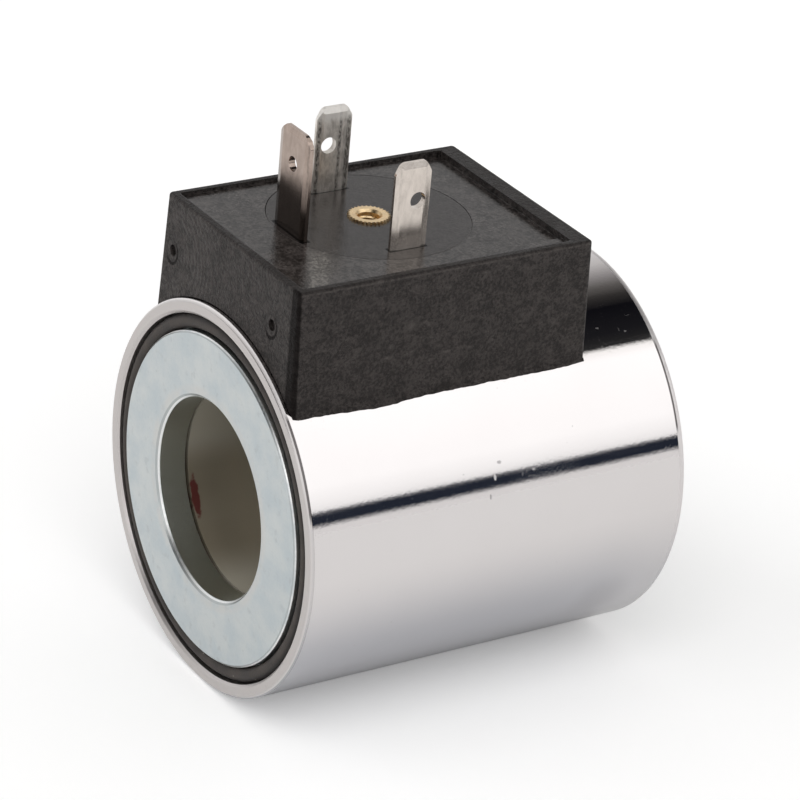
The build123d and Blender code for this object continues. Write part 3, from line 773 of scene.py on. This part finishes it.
def insert_brass():
    """Turned yellow brass."""
    finish, tree, shader = new_finish("insert_brass")
    place = spot(tree)
    tarnished, bright = (0.82, 0.58, 0.30), (0.93, 0.74, 0.48)
    tarnish = mottle(tree, place, 0.8 * MM, 3.0)
    feed(tree, shader.inputs["Base Color"], tint(tree, tarnish, tarnished, bright))
    shader.inputs["Metallic"].default_value = 1.0
    feed(tree, shader.inputs["Roughness"], fade(tree, tarnish, 0.3, 0.7, 0.26, 0.40))
    grain = mottle(tree, place, 0.12 * MM)
    feed(tree, shader.inputs["Normal"], relief(tree, grain, 0.008 * MM))
    return finish


def inner_finish(name, light, dark, roughness, metallic=0.0):
    """Finish of a piece inside the coil: two close colours in blotches."""
    finish, tree, shader = new_finish(name)
    place = spot(tree)
    cloud = mottle(tree, place, 1.5 * MM, 3.0)
    feed(tree, shader.inputs["Base Color"], tint(tree, cloud, dark, light))
    shader.inputs["Metallic"].default_value = metallic
    gloss = fade(tree, cloud, 0.3, 0.7, roughness - 0.06, roughness + 0.06)
    feed(tree, shader.inputs["Roughness"], gloss)
    grain = mottle(tree, place, 0.2 * MM)
    feed(tree, shader.inputs["Normal"], relief(tree, grain, 0.006 * MM))
    return finish


def winding_copper():
    """Enamelled wire laid turn by turn."""
    finish, tree, shader = new_finish("winding_copper")
    between_turns, on_turns = (0.42, 0.15, 0.06), (0.80, 0.38, 0.18)
    turns = node(tree, "TexWave", wave_type="BANDS", bands_direction="Y", wave_profile="SIN")
    feed(tree, turns.inputs["Vector"], spot(tree))
    turns.inputs["Scale"].default_value = 1 / (1.6 * MM)
    colour = tint(tree, turns.outputs["Fac"], between_turns, on_turns)
    feed(tree, shader.inputs["Base Color"], colour)
    shader.inputs["Metallic"].default_value = 1.0
    shader.inputs["Roughness"].default_value = 0.3
    feed(tree, shader.inputs["Normal"], relief(tree, turns.outputs["Fac"], 0.1 * MM))
    return finish


finishes = {
    "shell": polished_steel(),
    "front_plate": zinc_plate(),
    "front_seal_ring": seal_rubber(),
    "bobbin": bobbin_plastic(),
    "moulded_body": black_moulding(),
    "terminal_carrier": carrier_plastic(),
    "ground_terminal": tinned_blade(
        "ground_blade",
        "ground_terminal",
        light=(0.52, 0.42, 0.365),
        dark=(0.40, 0.32, 0.275),
        rough=0.20,
        lines=((2.9 * MM, 0.12 * MM, 0.5),),
        foot_shade=(4.6 * MM, 9.2 * MM, 0.80),
    ),
    "line_terminal_left": tinned_blade(
        "left_blade",
        "line_terminal_left",
        light=(0.90, 0.85, 0.79),
        dark=(0.50, 0.46, 0.42),
        rough=0.40,
        lines=((-1.90 * MM, 0.18 * MM, 0.85), (0.70 * MM, 0.16 * MM, 0.85), (1.80 * MM, 0.32 * MM, 0.8)),
        tip=8.7 * MM,
    ),
    "line_terminal_right": tinned_blade(
        "right_blade",
        "line_terminal_right",
        light=(0.82, 0.745, 0.68),
        dark=(0.66, 0.595, 0.54),
        rough=0.22,
        lines=((1.55 * MM, 0.10 * MM, 0.25), (-1.65 * MM, 0.08 * MM, 0.25)),
        lean=0.065,
    ),
    "screw_insert": insert_brass(),
    "winding": winding_copper(),
    "start_lead": inner_finish("lead_copper", (0.80, 0.40, 0.20), (0.62, 0.26, 0.11), 0.3, 1.0),
    "start_sleeve": inner_finish("glass_sleeving", (0.80, 0.79, 0.74), (0.70, 0.68, 0.62), 0.7),
    "start_solder": inner_finish("solder", (0.72, 0.72, 0.72), (0.55, 0.55, 0.56), 0.35, 1.0),
    "winding_tape": inner_finish("winding_tape", (0.78, 0.66, 0.24), (0.68, 0.55, 0.16), 0.4),
}
finishes["rear_plate"] = finishes["front_plate"]
finishes["rear_seal_ring"] = finishes["front_seal_ring"]
finishes["ground_rivet"] = finishes["screw_insert"]
finishes["finish_lead"] = finishes["start_lead"]
finishes["ground_strap"] = finishes["start_lead"]
finishes["finish_sleeve"] = finishes["start_sleeve"]
finishes["finish_solder"] = finishes["start_solder"]
for name, finish in finishes.items():
    for holder in frame["nodes"][name].material_slots:
        holder.material = finish


# Details too fine for the solids


def settle(shape, name, finish):
    """Turn a finished bmesh into a piece that rides on the coil."""
    bmesh.ops.recalc_face_normals(shape, faces=shape.faces)
    mesh = bpy.data.meshes.new(name)
    shape.to_mesh(mesh)
    shape.free()
    mesh.materials.append(finish)
    piece = bpy.data.objects.new(name, mesh)
    bpy.context.scene.collection.objects.link(piece)
    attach(piece, "root")


def nut_thread():
    """Thread of the nut: a thin ridge that winds up the wall of its hole."""
    root, crest, half_ridge, pitch = 1.28 * MM, 1.15 * MM, 0.22 * MM, 0.5 * MM
    bottom, turns, steps = RECESS_FLOOR - 5.4 * MM, 10, 40
    ridge = bmesh.new()
    profile = ((root, -half_ridge), (crest, 0.0), (root, half_ridge))
    corners = [ridge.verts.new((CARRIER_X + radius, CARRIER_Y, bottom + rise)) for radius, rise in profile]
    ridge.faces.new(corners)
    bmesh.ops.spin(
        ridge,
        geom=ridge.verts[:] + ridge.edges[:] + ridge.faces[:],
        cent=(CARRIER_X, CARRIER_Y, 0),
        axis=(0, 0, 1),
        dvec=(0, 0, pitch / steps),
        angle=2 * pi * turns,
        steps=steps * turns,
        use_duplicate=False,
    )
    settle(ridge, "nut_thread", finishes["screw_insert"])


def flash_hang(y, side, front, length):
    """How far the lip of plastic hangs down the tube at a place along the bore."""
    even_hang, extra_hang = 0.20 * MM, 0.36 * MM
    low_spot, low_spot_half = -13.2 * MM, 4.2 * MM
    fine_step, fine_depth = 0.625 * MM, 0.07 * MM
    coarse_step, coarse_depth = 2.0 * MM, 0.08 * MM
    front_taper, rear_taper = 0.6 * MM, 2.5 * MM
    hang = even_hang + extra_hang * exp(-(((y - low_spot) / low_spot_half) ** 2))
    hang += noise.noise(Vector((y / fine_step, side * 3.7, 0.0))) * fine_depth
    hang += noise.noise(Vector((y / coarse_step, side * 9.1, 4.0))) * coarse_depth
    from_front = max(0.0, (y - front) / front_taper)
    from_rear = max(0.0, (front + length - y) / rear_taper)
    return hang * min(1.0, from_front, from_rear)


def mould_flash(name, side):
    """Thin uneven lip of plastic where the block's side meets the tube; side is 1 at +X, -1 at -X."""
    meeting_angle, hanging_edge = radians(48.3), radians(0.3)
    overlap, sections = 0.1 * MM, 241
    front, length = BLOCK_FRONT - overlap, BLOCK_REAR - BLOCK_FRONT + overlap
    lip = bmesh.new()

    # Outline of the lip: height over the tube, degrees above the line where block and tube meet
    outline = ((0.02 * MM, 0.9), (0.02 * MM, -0.1), (0.09 * MM, -0.05), (0.16 * MM, 0.9))
    corners = []
    for proud, degrees in outline:
        angle, radius = meeting_angle + radians(degrees), SHELL_RADIUS + proud
        corners.append(lip.verts.new((side * cos(angle) * radius, front, sin(angle) * radius)))
    lip.faces.new(corners)
    grown = bmesh.ops.extrude_face_region(lip, geom=lip.faces[:])["geom"]
    rear_end = [part for part in grown if isinstance(part, bmesh.types.BMVert)]
    bmesh.ops.translate(lip, verts=rear_end, vec=(0, length, 0))
    long_edges = [edge for edge in lip.edges if edge.calc_length() > length / 2]
    bmesh.ops.subdivide_edges(lip, edges=long_edges, cuts=sections - 1, use_grid_fill=False)

    # Only the lower edge hangs; the upper one stays in the block
    highest = sin(meeting_angle + hanging_edge) * SHELL_RADIUS
    for corner in [vertex for vertex in lip.verts if vertex.co.z <= highest]:
        turn = side * flash_hang(corner.co.y, side, front, length) / SHELL_RADIUS
        bmesh.ops.rotate(lip, verts=[corner], cent=(0, 0, 0), matrix=Matrix.Rotation(turn, 3, "Y"))
    settle(lip, name, finishes["moulded_body"])


nut_thread()
mould_flash("mould_flash_right", 1)
mould_flash("mould_flash_left", -1)


# Studio


def studio_floor():
    """Pale floor under the coil."""
    floor_half, floor_white, camera_lift = 3.0, (0.88, 0.88, 0.88, 1), 0.22
    sheet = bmesh.new()
    bmesh.ops.create_grid(sheet, x_segments=1, y_segments=1, size=floor_half)
    bmesh.ops.translate(sheet, verts=sheet.verts, vec=(0, 0, -SHELL_RADIUS))
    mesh = bpy.data.meshes.new("floor")
    sheet.to_mesh(mesh)
    sheet.free()
    floor = bpy.data.objects.new("floor", mesh)
    bpy.context.scene.collection.objects.link(floor)
    finish = bpy.data.materials.new("floor")
    finish.use_nodes = True
    tree = finish.node_tree
    tree.nodes.clear()
    paper = node(tree, "BsdfDiffuse")
    paper.inputs["Color"].default_value = floor_white
    lift = node(tree, "Emission")
    seen = node(tree, "LightPath").outputs["Is Camera Ray"]
    feed(tree, lift.inputs["Strength"], product(tree, seen, camera_lift))
    both = node(tree, "AddShader")
    feed(tree, both.inputs[0], paper.outputs[0])
    feed(tree, both.inputs[1], lift.outputs[0])
    feed(tree, node(tree, "OutputMaterial").inputs["Surface"], both.outputs[0])
    mesh.materials.append(finish)


# Brightness of the room round the coil's axis as polished metal sees it: degrees up from +X
ROOM = (
    (-180, (0.86, 0.86, 0.87)),
    (0, (0.80, 0.79, 0.79)),
    (3.6, (0.78, 0.77, 0.77)),
    (4.6, (0.018, 0.023, 0.036)),
    (11.0, (0.018, 0.023, 0.036)),
    (12.8, (0.98, 0.98, 0.98)),
    (17.0, (1.10, 1.10, 1.10)),
    (26, (1.22, 1.22, 1.22)),
    (64, (1.28, 1.28, 1.28)),
    (69.8, (1.10, 1.09, 1.07)),
    (71, (0.024, 0.024, 0.024)),
    (80, (0.011, 0.011, 0.013)),
    (97, (0.005, 0.005, 0.007)),
    (105, (0.034, 0.032, 0.031)),
    (113, (0.12, 0.115, 0.11)),
    (121, (0.29, 0.28, 0.28)),
    (133, (0.58, 0.57, 0.565)),
    (148, (0.76, 0.76, 0.76)),
    (180, (0.86, 0.86, 0.87)),
)


def studio_room():
    """Even light for matt surfaces, white for the camera, and bright and dark bands for polish."""
    even_light, backdrop_white = (0.55, 0.545, 0.54), (1.0, 1.0, 1.0)
    world = bpy.data.worlds.new("studio")
    bpy.context.scene.world = world
    world.use_nodes = True
    tree = world.node_tree
    tree.nodes.clear()
    x, _, z = axes(tree, node(tree, "TexCoord").outputs["Generated"])
    around = calc(tree, "DIVIDE", calc(tree, "ARCTAN2", z, x), 2 * pi)
    bands = node(tree, "ValToRGB")
    feed(tree, bands.inputs["Fac"], calc(tree, "ADD", around, 0.5))
    stops = bands.color_ramp.elements
    stops[0].position = 0.0
    stops[0].color = (*ROOM[0][1], 1)
    stops[1].position = 1.0
    stops[1].color = (*ROOM[-1][1], 1)
    for degrees, level in ROOM[1:-1]:
        stops.new(degrees / 360 + 0.5).color = (*level, 1)
    path = node(tree, "LightPath")
    seen = tint(tree, path.outputs["Is Camera Ray"], even_light, backdrop_white)
    seen = tint(tree, path.outputs["Is Glossy Ray"], seen, bands.outputs["Color"])
    backdrop = node(tree, "Background")
    feed(tree, backdrop.inputs["Color"], seen)
    feed(tree, node(tree, "OutputWorld").inputs["Surface"], backdrop.outputs[0])


def studio_lamp(name, towards, strength, softness):
    """Broad even lamp, far away in one direction; softness is its width in degrees."""
    light = bpy.data.lights.new(name, "SUN")
    light.energy = strength
    light.angle = radians(softness)
    lamp = bpy.data.objects.new(name, light)
    bpy.context.scene.collection.objects.link(lamp)
    lamp.rotation_euler = (-Vector(towards)).to_track_quat("-Z", "Y").to_euler()
    lamp.visible_glossy = False


def photo_camera():
    """Camera at the photograph's place and angle."""
    eye = Vector((0.32009, -0.21681, 0.19850))
    right = Vector((0.5248, 0.8473, 0.0819))
    up = Vector((-0.4163, 0.1715, 0.8929))
    back = Vector((0.7425, -0.5027, 0.4428))
    film_width, focal_length, nearest = 36, 172.19, 0.01
    lens = bpy.data.cameras.new("camera")
    lens.sensor_width = film_width
    lens.lens = focal_length
    lens.clip_start = nearest
    camera = bpy.data.objects.new("camera", lens)
    bpy.context.scene.collection.objects.link(camera)
    turn = Matrix((right, up, back)).transposed().to_4x4()
    camera.matrix_world = Matrix.Translation(eye) @ turn
    bpy.context.scene.camera = camera


studio_floor()
studio_room()
studio_lamp("key", towards=(0.6, -0.35, 0.9), strength=1.1, softness=50)
studio_lamp("fill", towards=(-0.3, -0.9, 0.5), strength=0.7, softness=60)
photo_camera()
bpy.context.scene.view_settings.view_transform = "Standard"
